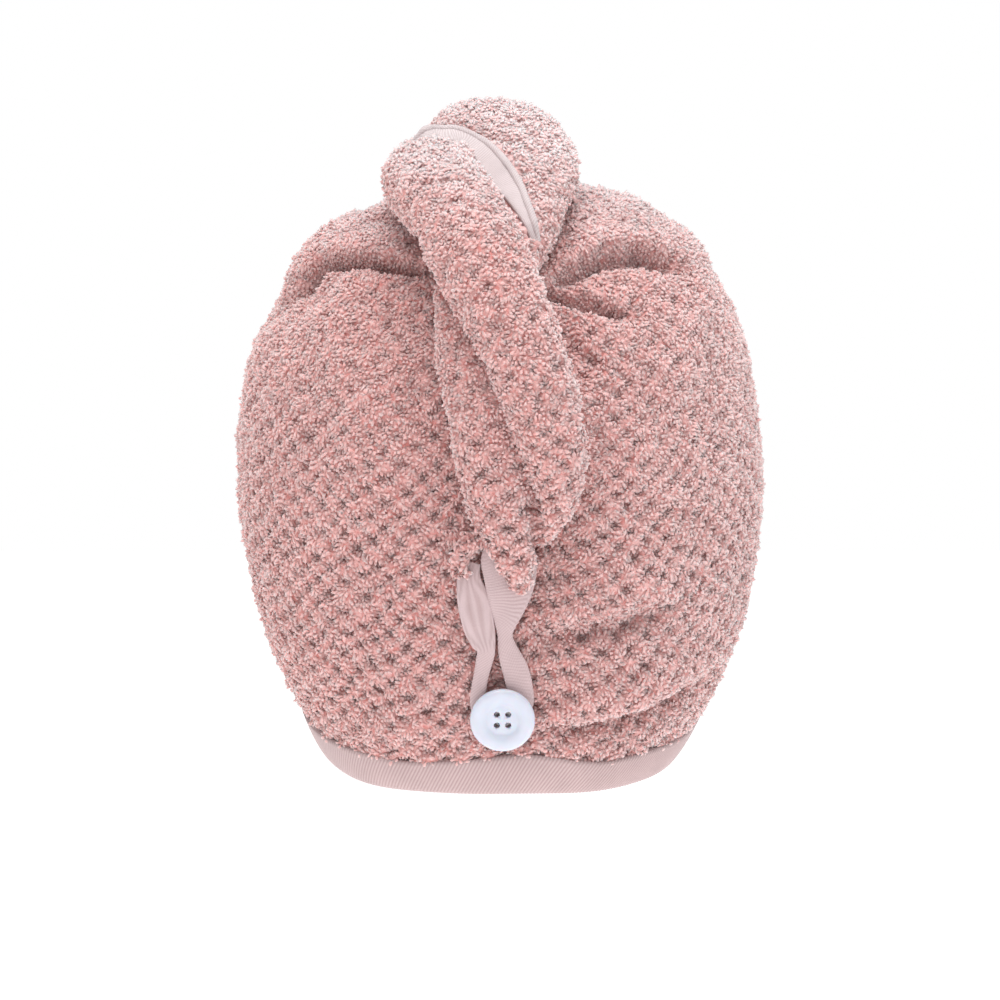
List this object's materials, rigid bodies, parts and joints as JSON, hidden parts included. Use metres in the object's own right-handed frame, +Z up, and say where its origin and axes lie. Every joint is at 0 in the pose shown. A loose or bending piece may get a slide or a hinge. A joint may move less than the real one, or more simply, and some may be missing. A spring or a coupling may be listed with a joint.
{
  "type": "hair turban towel",
  "caption": "Plush hair turban towel in its worn form: a hood open underneath, a twisted tail laid back over the crown, and a tape loop hooked round a nape button.",
  "frame": {"origin": "middle of the opening for the head, halfway in height between the hem at the nape and the hem at the brow; the towel is held up there by the head inside it", "axes": "+Z up the head, +Y towards the brow, -Y the back of the head with the tail and the button, +X the wearer's right side as seen from behind"},
  "size_m": [0.2269, 0.2726, 0.2931],
  "materials": {
    "plush": "dusty pink microfibre plush with a waffle pattern of dimples",
    "twill_tape": "smooth pale pink twill tape",
    "button_gloss": "white glossy polyester",
    "white_thread": "white sewing thread"
  },
  "bodies": {
    "root": {"hood": "plush", "hem_binding": "twill_tape", "tail": "plush", "tail_binding": "twill_tape", "loop": "twill_tape", "button": "button_gloss", "button_thread": "white_thread"}
  },
  "joints": []
}
